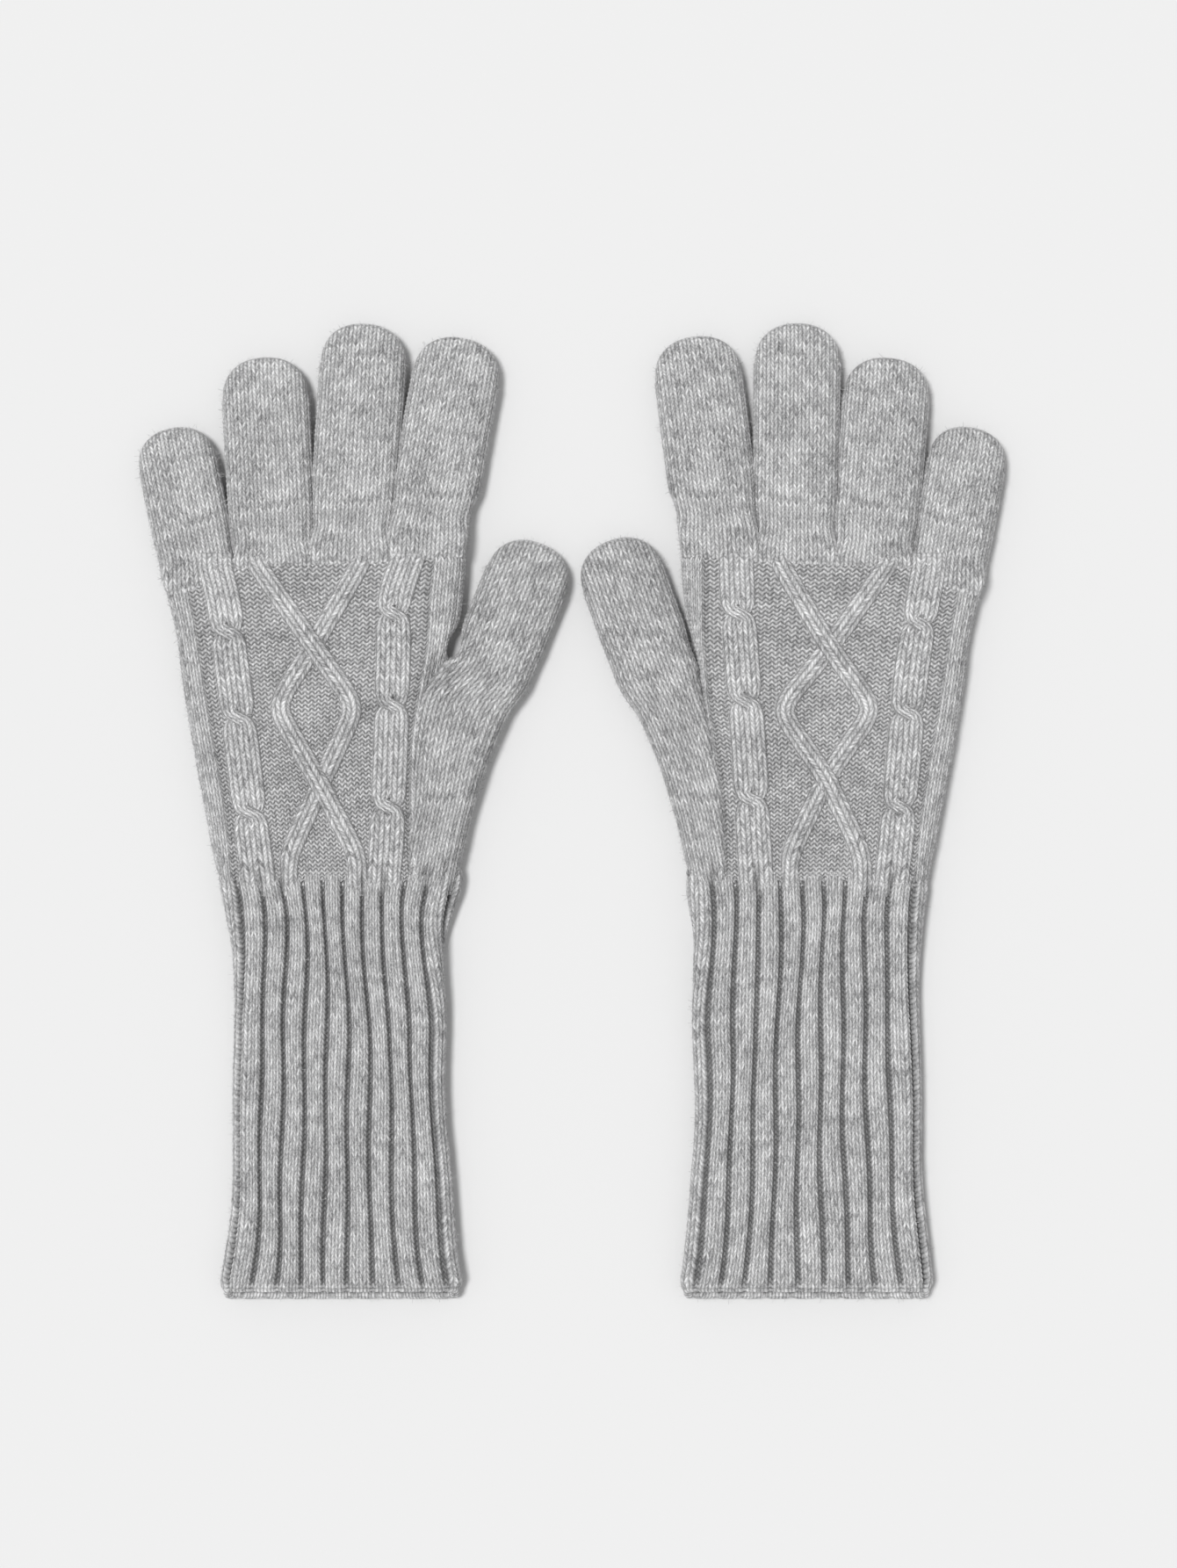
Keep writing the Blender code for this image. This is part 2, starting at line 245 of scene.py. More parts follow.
def looseFibres(tree, surface, given):
    # short hairs that stand off the yarn, each a thin strip that leans to one side
    scatter = made(tree, "GeometryNodeDistributePointsOnFaces",
                   {"Mesh": surface, "Density": given["Fibre Density"], "Seed": given["Seed"]})
    strip = made(tree, "GeometryNodeMeshGrid", {
        "Vertices X": 2, "Vertices Y": 2, "Size X": given["Fibre Width"], "Size Y": given["Fibre Length"]})
    place = made(tree, "ShaderNodeSeparateXYZ", {0: made(tree, "GeometryNodeInputPosition").outputs[0]})
    along = maths(tree, "ADD", place.outputs["Y"], maths(tree, "MULTIPLY", given["Fibre Length"], 0.5))
    upright = made(tree, "ShaderNodeCombineXYZ", {"X": place.outputs["X"],
                                                  "Y": maths(tree, "MULTIPLY", along, 0.6),
                                                  "Z": maths(tree, "MULTIPLY", along, 0.8)})
    stand = made(tree, "GeometryNodeSetPosition", {"Geometry": strip.outputs["Mesh"],
                                                   "Position": upright.outputs[0]})
    spin = made(tree, "FunctionNodeRandomValue", {"Min": (-0.7, -0.7, -math.pi), "Max": (0.7, 0.7, math.pi),
                                                  "Seed": given["Seed"]}, data_type="FLOAT_VECTOR")
    euler = made(tree, "FunctionNodeEulerToRotation", {0: spin.outputs["Value"]})
    turn = made(tree, "FunctionNodeRotateRotation", {"Rotation": scatter.outputs["Rotation"],
                                                     "Rotate By": euler.outputs[0]}, rotation_space="LOCAL")
    # inputs 2 and 3 are the least and the greatest size
    size = made(tree, "FunctionNodeRandomValue",
                {2: 0.4, 3: 1.3, "Seed": maths(tree, "ADD", given["Seed"], 1.0)})
    hairs = made(tree, "GeometryNodeInstanceOnPoints",
                 {"Points": scatter.outputs["Points"], "Instance": stand.outputs[0],
                  "Rotation": turn.outputs[0], "Scale": size.outputs[1]})
    return hairs.outputs[0]


def stitchTree():
    # raises every stitch's two legs, the purl waves and the ribs along the surface's normal
    tree = bpy.data.node_groups.new("knitStitches", "GeometryNodeTree")
    face = tree.interface
    face.new_socket("Geometry", in_out="INPUT", socket_type="NodeSocketGeometry")
    for name, value in stitchSizes.items():
        face.new_socket(name, in_out="INPUT", socket_type="NodeSocketFloat").default_value = value
    face.new_socket("Seed", in_out="INPUT", socket_type="NodeSocketInt").default_value = 1
    face.new_socket("Wool", in_out="INPUT", socket_type="NodeSocketMaterial")
    face.new_socket("Geometry", in_out="OUTPUT", socket_type="NodeSocketGeometry")
    given = tree.nodes.new("NodeGroupInput").outputs
    p = maths(tree, "FRACT", namedValue(tree, "wale"))
    q = maths(tree, "FRACT", namedValue(tree, "course"))
    purl = namedValue(tree, "purl")
    turn = maths(tree, "MULTIPLY", p, 2 * math.pi)
    legWave = maths(tree, "SINE", turn)
    legs = maths(tree, "MULTIPLY", legWave, legWave)
    middle = maths(tree, "MAXIMUM", maths(tree, "MULTIPLY", maths(tree, "COSINE", turn), -0.5), 0.0)
    across = maths(tree, "ADD", legs, maths(tree, "MULTIPLY", middle, maths(tree, "SUBTRACT", 1.0, legs)))
    rise = maths(tree, "SINE", maths(tree, "MULTIPLY", q, math.pi))
    along = maths(tree, "MULTIPLY_ADD", rise, 0.60, 0.40)
    knitHeight = maths(tree, "MULTIPLY", maths(tree, "MULTIPLY", across, along), given["Knit Height"])
    purlHeight = maths(tree, "MULTIPLY", purlLoops(tree, p, q), given["Purl Height"])
    mixed = maths(tree, "ADD", maths(tree, "MULTIPLY", knitHeight, maths(tree, "SUBTRACT", 1.0, purl)),
                  maths(tree, "MULTIPLY", purlHeight, purl))
    stitches = maths(tree, "MULTIPLY", mixed, namedValue(tree, "relief"))
    ribs = maths(tree, "MULTIPLY", namedValue(tree, "rib"), given["Rib Height"])
    position = made(tree, "GeometryNodeInputPosition").outputs[0]
    noise = made(tree, "ShaderNodeTexNoise",
                 {"Detail": 2.0, "Vector": position, "Scale": given["Unevenness Scale"],
                  "W": maths(tree, "MULTIPLY", given["Seed"], 3.7)}, noise_dimensions="4D")
    spread = maths(tree, "MULTIPLY", maths(tree, "SUBTRACT", noise.outputs["Fac"], 0.5), 2.0)
    wobble = maths(tree, "MULTIPLY", spread, given["Unevenness"])
    wobble = maths(tree, "MULTIPLY", wobble, namedValue(tree, "relief"))
    height = maths(tree, "ADD", maths(tree, "ADD", stitches, ribs), wobble)
    normal = made(tree, "GeometryNodeInputNormal").outputs["Normal"]
    scale = made(tree, "ShaderNodeVectorMath", operation="SCALE")
    feed(tree, scale, {0: normal, "Scale": height})
    move = made(tree, "GeometryNodeSetPosition", {"Geometry": given["Geometry"], "Offset": scale.outputs[0]})
    shade = made(tree, "GeometryNodeSetShadeSmooth", {"Geometry": move.outputs[0]})
    both = made(tree, "GeometryNodeJoinGeometry", {0: looseFibres(tree, shade.outputs[0], given)})
    tree.links.new(shade.outputs[0], both.inputs[0])
    realize = made(tree, "GeometryNodeRealizeInstances", {0: both.outputs[0]})
    paint = made(tree, "GeometryNodeSetMaterial", {"Geometry": realize.outputs[0], "Material": given["Wool"]})
    tree.links.new(paint.outputs[0], tree.nodes.new("NodeGroupOutput").inputs[0])
    return tree


def knitted(obj, tree, wool, seed, **sizes):
    # runs the stitch tree on a form and keeps the result as a plain mesh
    modifier = obj.modifiers.new("stitches", "NODES")
    modifier.node_group = tree
    sockets = {item.name: item.identifier for item in tree.interface.items_tree if item.in_out == "INPUT"}
    for name, value in sizes.items():
        modifier[sockets[name]] = value
    modifier[sockets["Seed"]] = seed
    modifier[sockets["Wool"]] = wool
    depsgraph = bpy.context.evaluated_depsgraph_get()
    mesh = bpy.data.meshes.new_from_object(obj.evaluated_get(depsgraph))
    obj.modifiers.clear()
    old = obj.data
    name = old.name
    obj.data = mesh
    bpy.data.meshes.remove(old)
    mesh.name = name
    return obj


woolLook = {
    "dark": (0.236, 0.236, 0.240, 1), "light": (0.962, 0.962, 0.966, 1),
    # how much each of these moves the tone from the middle, in plain knit
    "stretch": 0.78, "stitch": 0.40, "cloud": 0.45, "fleck": 1.25, "fibre": 1.00,
    "purlStretch": 0.44, "purlStitch": 0.30,
    # how much light the hollows between stitches and the ribs' grooves lose
    "hollows": 0.64, "grooves": 0.56,
    "roughness": 0.92, "sheen": 0.25, "sheenRoughness": 0.5, "specular": 0.25, "nap": 0.55,
}


def woolMaterial():
    # heathered grey wool: a tone for each stretch of yarn, flecks of dark and light fibre, a soft nap, and
    # painted shade in the stitches' hollows and the ribs' grooves
    material = bpy.data.materials.new("heatherGreyWool")
    material.use_nodes = True
    tree, look = material.node_tree, woolLook
    coords = made(tree, "ShaderNodeTexCoord").outputs["Object"]

    def attribute(name):
        return made(tree, "ShaderNodeAttribute", attribute_name=name).outputs["Fac"]

    def noise(vector, scale, detail=2.0, rough=0.5):
        inputs = {"Vector": vector, "Scale": scale, "Detail": detail, "Roughness": rough}
        return made(tree, "ShaderNodeTexNoise", inputs).outputs["Fac"]

    def swing(value, amount):
        return maths(tree, "MULTIPLY", maths(tree, "SUBTRACT", value, 0.5), amount)

    course = attribute("course")
    wale = attribute("wale")
    # a yarn runs along a course, so its tone does too
    yarnPlace = made(tree, "ShaderNodeCombineXYZ", {
        "X": maths(tree, "MULTIPLY", wale, 0.22),
        "Y": maths(tree, "MULTIPLY", maths(tree, "FLOOR", course), 0.61)})
    stretch = noise(yarnPlace.outputs[0], 1.0, 1.0)
    stitchPlace = made(tree, "ShaderNodeCombineXYZ", {
        "X": maths(tree, "FLOOR", maths(tree, "MULTIPLY", wale, 2.0)), "Y": maths(tree, "FLOOR", course)})
    stitchTone = made(tree, "ShaderNodeTexWhiteNoise", {"Vector": stitchPlace.outputs[0]})
    cloud = noise(coords, 75.0, 3.0)
    fleck = noise(coords, 1500.0, 3.0, 0.7)
    fibre = made(tree, "ShaderNodeMapping", {"Scale": (1.0, 0.35, 1.0), "Vector": coords})
    fibres = noise(fibre.outputs[0], 2600.0, 2.0, 0.6)
    purl = attribute("purl")

    def strength(knit, purled):
        return maths(tree, "MULTIPLY_ADD", purl, purled - knit, knit)

    tone = maths(tree, "ADD", swing(stretch, strength(look["stretch"], look["purlStretch"])),
                 swing(stitchTone.outputs["Value"], strength(look["stitch"], look["purlStitch"])))
    for value, amount in ((cloud, look["cloud"]), (fleck, look["fleck"]), (fibres, look["fibre"])):
        tone = maths(tree, "ADD", tone, swing(value, amount))
    tone = maths(tree, "ADD", tone, 0.5, clamp=True)
    mix = made(tree, "ShaderNodeMix", data_type="RGBA")
    feed(tree, mix, {"A": look["dark"], "B": look["light"], "Factor": tone})
    # less light gets down between the legs of a stitch, between purl rows and into the ribs' grooves
    p, q = maths(tree, "FRACT", wale), maths(tree, "FRACT", course)
    legWave = maths(tree, "SINE", maths(tree, "MULTIPLY", p, 2 * math.pi))
    rise = maths(tree, "SINE", maths(tree, "MULTIPLY", q, math.pi))
    knitTop = maths(tree, "MULTIPLY", maths(tree, "ABSOLUTE", legWave),
                    maths(tree, "MULTIPLY_ADD", rise, 0.62, 0.38))
    top = maths(tree, "ADD", maths(tree, "MULTIPLY", knitTop, maths(tree, "SUBTRACT", 1.0, purl)),
                maths(tree, "MULTIPLY", purlLoops(tree, p, q), purl))
    hollow = maths(tree, "MULTIPLY", maths(tree, "SUBTRACT", 1.0, top),
                   maths(tree, "MULTIPLY_ADD", purl, 0.15, 1.0))
    grooveShade = maths(tree, "MULTIPLY", attribute("groove"), 1.0, clamp=True)
    fromHollows = maths(tree, "SUBTRACT", 1.0, maths(tree, "MULTIPLY", hollow, look["hollows"]))
    fromGrooves = maths(tree, "SUBTRACT", 1.0, maths(tree, "MULTIPLY", grooveShade, look["grooves"]))
    shade = maths(tree, "MULTIPLY", fromHollows, fromGrooves)
    shaded = made(tree, "ShaderNodeVectorMath", {0: mix.outputs["Result"]}, operation="SCALE")
    feed(tree, shaded, {"Scale": shade})
    bump = made(tree, "ShaderNodeBump", {"Strength": look["nap"], "Distance": 0.12 * mm,
                                         "Height": maths(tree, "ADD", fibres, fleck)})
    feed(tree, tree.nodes["Principled BSDF"], {
        "Base Color": shaded.outputs[0], "Normal": bump.outputs[0], "Roughness": look["roughness"],
        "Sheen Weight": look["sheen"], "Sheen Roughness": look["sheenRoughness"],
        "Specular IOR Level": look["specular"]})
    return material


handShape = {
    "outer": ((-8, -38.0), (0, -38.6), (10.7, -40.7), (27.5, -43.8), (44.3, -46.9), (61, -49.6), (78, -51.9),
              (95, -56.4), (104, -59.6), (120, -66.0)),
    "inner": ((-8, 33.0), (0, 33.5), (30, 32.5), (55, 33.0), (70, 34.4), (76, 36.2), (84, 38.0), (92, 38.9),
              (104, 39.8), (118, 41.0)),
    "panelLeft": ((-8, -33.8), (0, -34.4), (4.8, -34.8), (28, -37.6), (52, -41.8), (81, -46.3), (104, -50.5)),
    # where the fingers' plain knit begins: place across the hand, then height
    "border": ((-62, 88.5), (-53, 89.5), (-46, 91.5), (-38, 96.4), (-30, 98.0), (-10, 99.0), (12, 100.0),
               (26, 101.0), (45, 102.0)),
    "ends": (-3.2, 103.5),
    "low": 0.95,             # of the palm above the table
    "high": 11.2,
    "corner": 4.6,
    "panelSink": 1.15,       # how far the purl ground lies below the plain knit round it
    "ribPitch": 8.15,        # between the cuff's grooves where they run on into the hand
    "edgeWales": 5, "panelWales": 32, "thumbWales": 6, "palmWales": 36, "palmColumns": 3,
    "tuck": 1.5,             # by how much its ends slip inside their neighbours
}

# band: how far down the hand its knit begins. settle: where its edge leaves the line of the hand's edge
digitShape = {
    "little_finger": {"base": 23.5, "width": 24.6, "length": 46.4, "band": 5.5, "wales": 24, "settle": 17},
    "ring_finger": {"base": 25.2, "width": 27.2, "length": 63.4, "band": 5.0, "wales": 26, "settle": 4},
    "middle_finger": {"base": 25.4, "width": 27.0, "length": 69.7, "band": 8.0, "wales": 26, "settle": 4},
    "index_finger": {"base": 24.8, "width": 27.4, "length": 60.8, "band": 11.0, "wales": 26, "settle": 14},
    "thumb": {"base": 26.0, "width": 26.4, "length": 41.7, "wales": 24},
}
digitDepth = {"low": 0.95, "high": 10.4, "tipRound": 0.95, "tipPower": 2.25, "borderStep": 0.85}


def handTop(x, y):
    # height of the hand's back, before its stitches
    left = softLine(handShape["outer"], y)
    right = softLine(handShape["inner"], y)
    low, high = handShape["low"], handShape["high"]
    mid, tall, r = (low + high) / 2, (high - low) / 2, handShape["corner"]
    edge = np.clip(np.minimum(x - left, right - x) / r, 0, 1)
    return mid + tall - r + r * np.sqrt(1 - (1 - edge) ** 2)


def ribGrooves(glove, x, y):
    # the cuff's grooves run on into the plain knit for a little way above the wrist
    closer, shift = gloves[glove]["wristRibs"]
    pitch = handShape["ribPitch"] * closer
    off = np.abs((x - shift) / pitch - np.floor((x - shift) / pitch) - 0.5) * pitch
    return 1.25 * np.exp(-(off / 0.75) ** 2) * (1 - smooth(-1.5, 8.0, y))


def forkDimple(glove, x, y):
    # the knit is drawn in at the fork of the thumb, with small puckers under it
    reach = gloves[glove]["fork"]
    dx, dy = x - reach[0], y - reach[1]
    pit = 2.3 * np.exp(-((dx - 0.15 * dy) / 1.9) ** 2 - (dy / 4.6) ** 2)
    near = np.exp(-((dx + 1.0) / 5.0) ** 2 - ((dy + 9.0) / 6.0) ** 2)
    puckers = 0.75 * np.sin((dx + 0.55 * dy) * 1.5) * near
    return (pit + puckers) * gloves[glove]["forkDepth"]


def handPiece(glove):
    # a flat tube: the purl panel on its back between two plain edges, and a plain palm
    shape = handShape
    start, end = shape["ends"]
    rowCount = rowsIn(end - start, yarn["purlCourse"], yarn["purlRows"])
    ys = np.linspace(start, end, rowCount)
    # wales of the little finger's edge, the purl panel, the thumb's edge and the palm
    counts = [shape["edgeWales"], shape["panelWales"], shape["thumbWales"], shape["palmWales"]]
    pers = [yarn["columns"], yarn["columns"], yarn["columns"], shape["palmColumns"]]
    firsts = np.concatenate(([0], np.cumsum(counts)))
    wale = np.concatenate([first + np.arange(c * per) / per for first, c, per in zip(firsts, counts, pers)])
    kind = np.repeat([0, 1, 0, 0], [c * per for c, per in zip(counts, pers)]).astype(float)
    kind[shape["edgeWales"] * yarn["columns"]] = 0
    points = np.zeros((rowCount, len(wale), 3))
    for i, y in enumerate(ys):
        left, right = softLine(shape["outer"], y), softLine(shape["inner"], y)
        tuck = shape["tuck"] * max(1 - smooth(-2.4, 0.6, y), smooth(101.0, 103.0, y))
        low, high = shape["low"] + tuck, shape["high"] - tuck
        left, right = left + tuck, right - tuck
        r = shape["corner"]
        tall = (high - low) / 2
        around = perimeter(left, right, low, high, r)
        atTop = (tall - min(r, tall)) + math.pi * min(r, tall) / 2
        keys = [0, atTop + softLine(shape["panelLeft"], y) - left - r,
                atTop + softLine(gloves[glove]["panelEdge"], y) - left - r]
        keys += [around / 2, around]
        places = np.concatenate([np.linspace(a, b, c * per, endpoint=False)
                                 for a, b, c, per in zip(keys, keys[1:], counts, pers)])
        x, z, _ = section(left, right, low, high, r, places)
        points[i] = np.stack([x, np.full_like(x, y), z], axis=1)
        line = keys[2] - atTop + left + r
        # under the gusset the hand gets thin, so that the gusset's own knit is what shows
        under = smooth(0.6, 3.2, x - line) * (1 - smooth(66, 74, y))
        points[i, :, 2] = (low + high) / 2 + (z - (low + high) / 2) * (1 - 0.55 * under)
    waleRow = np.broadcast_to(wale, points.shape[:2])
    fromEdge = np.minimum(waleRow - shape["edgeWales"], shape["edgeWales"] + shape["panelWales"] - waleRow)
    sink = shape["panelSink"] * smooth(-0.15, 0.55, fromEdge)
    courses = np.arange(rowCount) / yarn["purlRows"]
    grooves = ribGrooves(glove, points[..., 0], points[..., 1]) * (1 - kind)[None, :]
    sink = sink + grooves + forkDimple(glove, points[..., 0], points[..., 1])
    sink = sink + 1.3 * smooth(0.2, 1.8, points[..., 1] - softLine(shape["border"], points[..., 0]))
    # the purl rows are pulled out of line by the cables
    pull = np.sin(points[..., 0] * 0.23 + 1.7 * np.sin(points[..., 1] * 0.10 + gloves[glove]["seed"]))
    inside = smooth(2, 10, points[..., 1]) * (1 - smooth(88, 96, points[..., 1]))
    points[..., 1] += 0.55 * pull * kind[None, :] * inside
    points = sheared(points, wale, kind, yarn["purlRows"])
    # the purl ground is in shade beside the folds on either side of it
    toThumb = softLine(gloves[glove]["panelEdge"], points[..., 1]) - points[..., 0]
    toEdge = points[..., 0] - softLine(shape["panelLeft"], points[..., 1])
    shade = 0.55 * np.exp(-((toThumb - 0.8) / 1.3) ** 2) + 0.35 * np.exp(-((toEdge - 0.8) / 1.2) ** 2)
    # painted shade: the rib grooves above the wrist are drawn darker, and so is the purl ground beside the
    # folds
    layers = {"wale": wale[None, :], "course": courses[:, None], "purl": kind[None, :],
              "groove": grooves * 0.7 + shade * kind[None, :],
              "relief": full, "rib": -sink / ribHeight}
    return gridMesh(f"{glove}_hand_knit", glove, points, layers)


def roundedTip(off, share):
    # at each place across a tip: how much of its reach it keeps, how thick it is, how much its stitches show
    share = min(1.0, share)
    power = digitDepth["tipPower"]
    room = (1 - np.clip(off, 0, 1) ** power) ** (1 / power)
    thick = (1 - share ** 2.6) ** (1 / 2.2)
    return room, thick, np.clip(room * 1.4, 0.15, 1) * (1 - 0.8 * smooth(0.35, 1.0, share))


def digitPiece(glove, digit):
    # a closed tube that lies flat, with straight wales to its round tip, begun a little way down the hand
    shape, depth = digitShape[digit], digitDepth
    joint = joints[f"{glove}_{digit}_curl"]
    base = toLocal(joint["pos_m"], glove)
    lean = math.radians(gloves[glove]["lean"][digit])
    half, reach = shape["width"] / 2, shape["base"] / 2 * 0.995
    rounded = depth["tipRound"] * half
    body = shape["length"] - rounded
    start, end = -shape["band"], shape["length"]
    rowCount = rowsIn(end - start, yarn["course"], yarn["rows"])
    ts = np.linspace(start, end, rowCount)
    # it leans less inside the hand than past its own base
    fan = lean * 0.35
    angles = fan + (lean - fan) * smooth(-6, 7, ts)
    step = ts[1] - ts[0]
    path = np.stack([np.sin(angles), np.cos(angles)], axis=1) * step
    path = np.cumsum(path, axis=0)
    zero = int(np.argmin(np.abs(ts)))
    path = path - path[zero] + base
    per = yarn["columns"]
    wale = np.arange(shape["wales"] * per) / per
    points = np.zeros((rowCount, len(wale), 3))
    relief = np.ones((rowCount, len(wale)))
    for i, t in enumerate(ts):
        wide = reach + (half - reach) * smooth(0, 14, t)
        low = depth["low"]
        handHigh = handShape["high"] + 0.10
        high = handHigh + (depth["high"] - handHigh) * smooth(-3, 10, t)
        high -= depth["borderStep"] * (1 - smooth(start, start + 2.2, t))
        corner = 0.7 + 4.7 * smooth(-4.0, 6.5, t)
        around = perimeter(-wide, wide, low, high, corner)
        x, z, _ = section(-wide, wide, low, high, corner, wale / shape["wales"] * around)
        mid = (low + high) / 2
        along = np.zeros_like(x)
        if t > body:
            room, thick, relief[i] = roundedTip(np.abs(x) / wide, (t - body) / rounded)
            along = -(1 - room) * (t - body)
            z = mid + (z - mid) * thick
        forward = np.array([math.sin(angles[i]), math.cos(angles[i])])
        across = np.array([forward[1], -forward[0]])
        xy = path[i] + np.outer(x, across) + np.outer(along, forward)
        if i == 0:
            toBorder = softLine(handShape["border"], xy[:, 0]) - xy[:, 1]
        near = max(0, 1 - (t - start) / (4 - start))
        xy[:, 1] += toBorder * near ** 1.2
        # its outer edge runs on from the hand's own outline
        drawn = 0.5 * near ** 2
        inside = np.clip(xy[:, 0], softLine(handShape["outer"], xy[:, 1]) + drawn,
                         softLine(handShape["inner"], xy[:, 1]) - drawn)
        xy[:, 0] += (inside - xy[:, 0]) * (1 - smooth(shape["settle"] * 0.3, shape["settle"], t))
        points[i] = np.column_stack([xy, z])
    courses = np.arange(rowCount) / yarn["rows"]
    points = sheared(points, wale, np.zeros_like(wale), yarn["rows"])
    layers = {"wale": wale[None, :] + 3.0, "course": courses[:, None] + 7.0, "purl": none, "groove": none,
              "relief": relief, "rib": none}
    return gridMesh(f"{glove}_{digit}_knit", glove, points, layers, caps=(True, False))


gussetShape = {
    # heights, and its outer edge at each
    "outer": ((-8, 36.2), (-3, 36.8), (2, 37.6), (10.7, 39.4), (19, 41.3), (27.5, 43.7), (36, 46.3),
              (44, 49.4), (52.7, 53.2), (61, 57.4), (68, 60.6)),
    "least": 20.0,           # narrowest that it gets, with what is hidden inside the hand
    "baseAt": 47.9,          # where the thumb's base is on the outline above
    "length": 70.0,
    "below": 6.0,            # by how much it starts below the wrist
    "slope": 4.6,            # rise of the thumb's mouth to either side of its middle
    "corner": 4.9,
    "fold": 0.9,             # height of its rolled inner edge
}


def thumbPiece(glove):
    # the gusset grows from the wrist along the thumb's side, and goes on as the thumb
    shape, depth, gusset = digitShape["thumb"], digitDepth, gussetShape
    base = toLocal(joints[f"{glove}_thumb_curl"]["pos_m"], glove)
    lean = math.radians(gloves[glove]["thumbLean"])
    forward = np.array([math.sin(lean), math.cos(lean)])
    across = np.array([forward[1], -forward[0]])
    half, reach = shape["width"] / 2, shape["base"] / 2
    rounded = depth["tipRound"] * half
    body = shape["length"] - rounded
    shift = base[0] - gusset["baseAt"]   # both gloves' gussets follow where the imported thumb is
    start = -gusset["length"]
    bottom = start - gusset["below"]
    rowCount = rowsIn(shape["length"] - bottom, yarn["gussetCourse"], yarn["rows"])
    vs = np.linspace(bottom, shape["length"], rowCount)
    per = yarn["columns"]
    wale = np.arange(shape["wales"] * per) / per
    points = np.zeros((rowCount, len(wale), 3))
    relief = np.ones((rowCount, len(wale)))
    for i, v in enumerate(vs):
        wide = reach + (half - reach) * smooth(0, 10, v)
        sunk = 1 - smooth(bottom, start + 0.5, v)
        low = depth["low"] + 2.2 * sunk
        handHigh = handShape["high"] + 0.15
        high = handHigh + (depth["high"] - handHigh) * smooth(-10, 12, v) - 2.4 * sunk
        if v >= 0:
            middle = base + forward * v
            a, b = middle - across * wide, middle + across * wide
        else:
            share = v / start
            y = (base[1] + gusset["slope"]) * (1 - share)          # up the inner side
            line = softLine(gloves[glove]["gussetLine"], y) + shift * smooth(20, 60, y)
            yOut = (base[1] - gusset["slope"]) * (1 - share)
            out = softLine(gusset["outer"], yOut) + shift * smooth(10, 60, yOut)
            hidden = min(line - 1.0, out - gusset["least"])
            join = smooth(-14, 0, v)
            a0, b0 = base - across * reach, base + across * reach
            a = np.array([hidden, y]) * (1 - join) + (a0 + forward * v) * join
            b = np.array([out, yOut]) * (1 - join) + (b0 + forward * v) * join
        width = float(np.hypot(*(b - a)))
        around = perimeter(0, width, low, high, gusset["corner"])
        x, z, _ = section(0, width, low, high, gusset["corner"], wale / shape["wales"] * around)
        mid = (low + high) / 2
        xy = a + np.outer(x / width, b - a)
        if v > body:
            room, thick, relief[i] = roundedTip(np.abs(x - width / 2) / (width / 2), (v - body) / rounded)
            xy = xy - np.outer((1 - room) * (v - body), forward)
            z = mid + (z - mid) * thick
        if v < 0:
            lineHere = softLine(gloves[glove]["gussetLine"], xy[:, 1]) + shift * smooth(20, 60, xy[:, 1])
            away = 1 - smooth(-1.9, 0.1, xy[:, 0] - lineHere)
            z = mid + (z - mid) * (1 - 0.5 * away * (1 - smooth(-12, -2, v)))
            # its inner edge is a rounded fold
            fold = np.exp(-((xy[:, 0] - lineHere - 1.7) / 1.5) ** 2) * smooth(mid + 1, high - 1, z)
            fold = fold * smooth(start + 4, start + 16, v) * (1 - smooth(-14, -5, v))
            z = z + gusset["fold"] * fold
        points[i] = np.column_stack([xy, z])
    courses = np.arange(rowCount) / yarn["rows"]
    grooves = ribGrooves(glove, points[..., 0], points[..., 1])
    sink = grooves + forkDimple(glove, points[..., 0], points[..., 1])
    points = sheared(points, wale, np.zeros_like(wale), yarn["rows"])
    # painted shade: the rib grooves above the wrist are drawn darker, and the whole gusset and thumb a little
    # darker all over
    layers = {"wale": wale[None, :] + 5.0, "course": courses[:, None] + 2.0, "purl": none,
              "groove": grooves * 0.7 + 0.14, "relief": relief, "rib": -sink / ribHeight}
    return gridMesh(f"{glove}_thumb_knit", glove, points, layers, caps=(True, False))


cuffShape = {
    "heights": (0.0, -6.0, -15.0, -50.0, -90.0, -124.0, -131.0),    # where each glove's cuffHalf is given
    "ribs": 20, "knitWales": 3, "grooveShare": 0.16, "course": 1.62,
    "front": 131.0, "back": 133.9, "wall": 1.9, "rise": 2.2,
    "low": 2.6, "high": 9.7, "corner": 3.5, "innerRows": 7,
}
cuffSizes = {"Fibre Density": 300000.0}


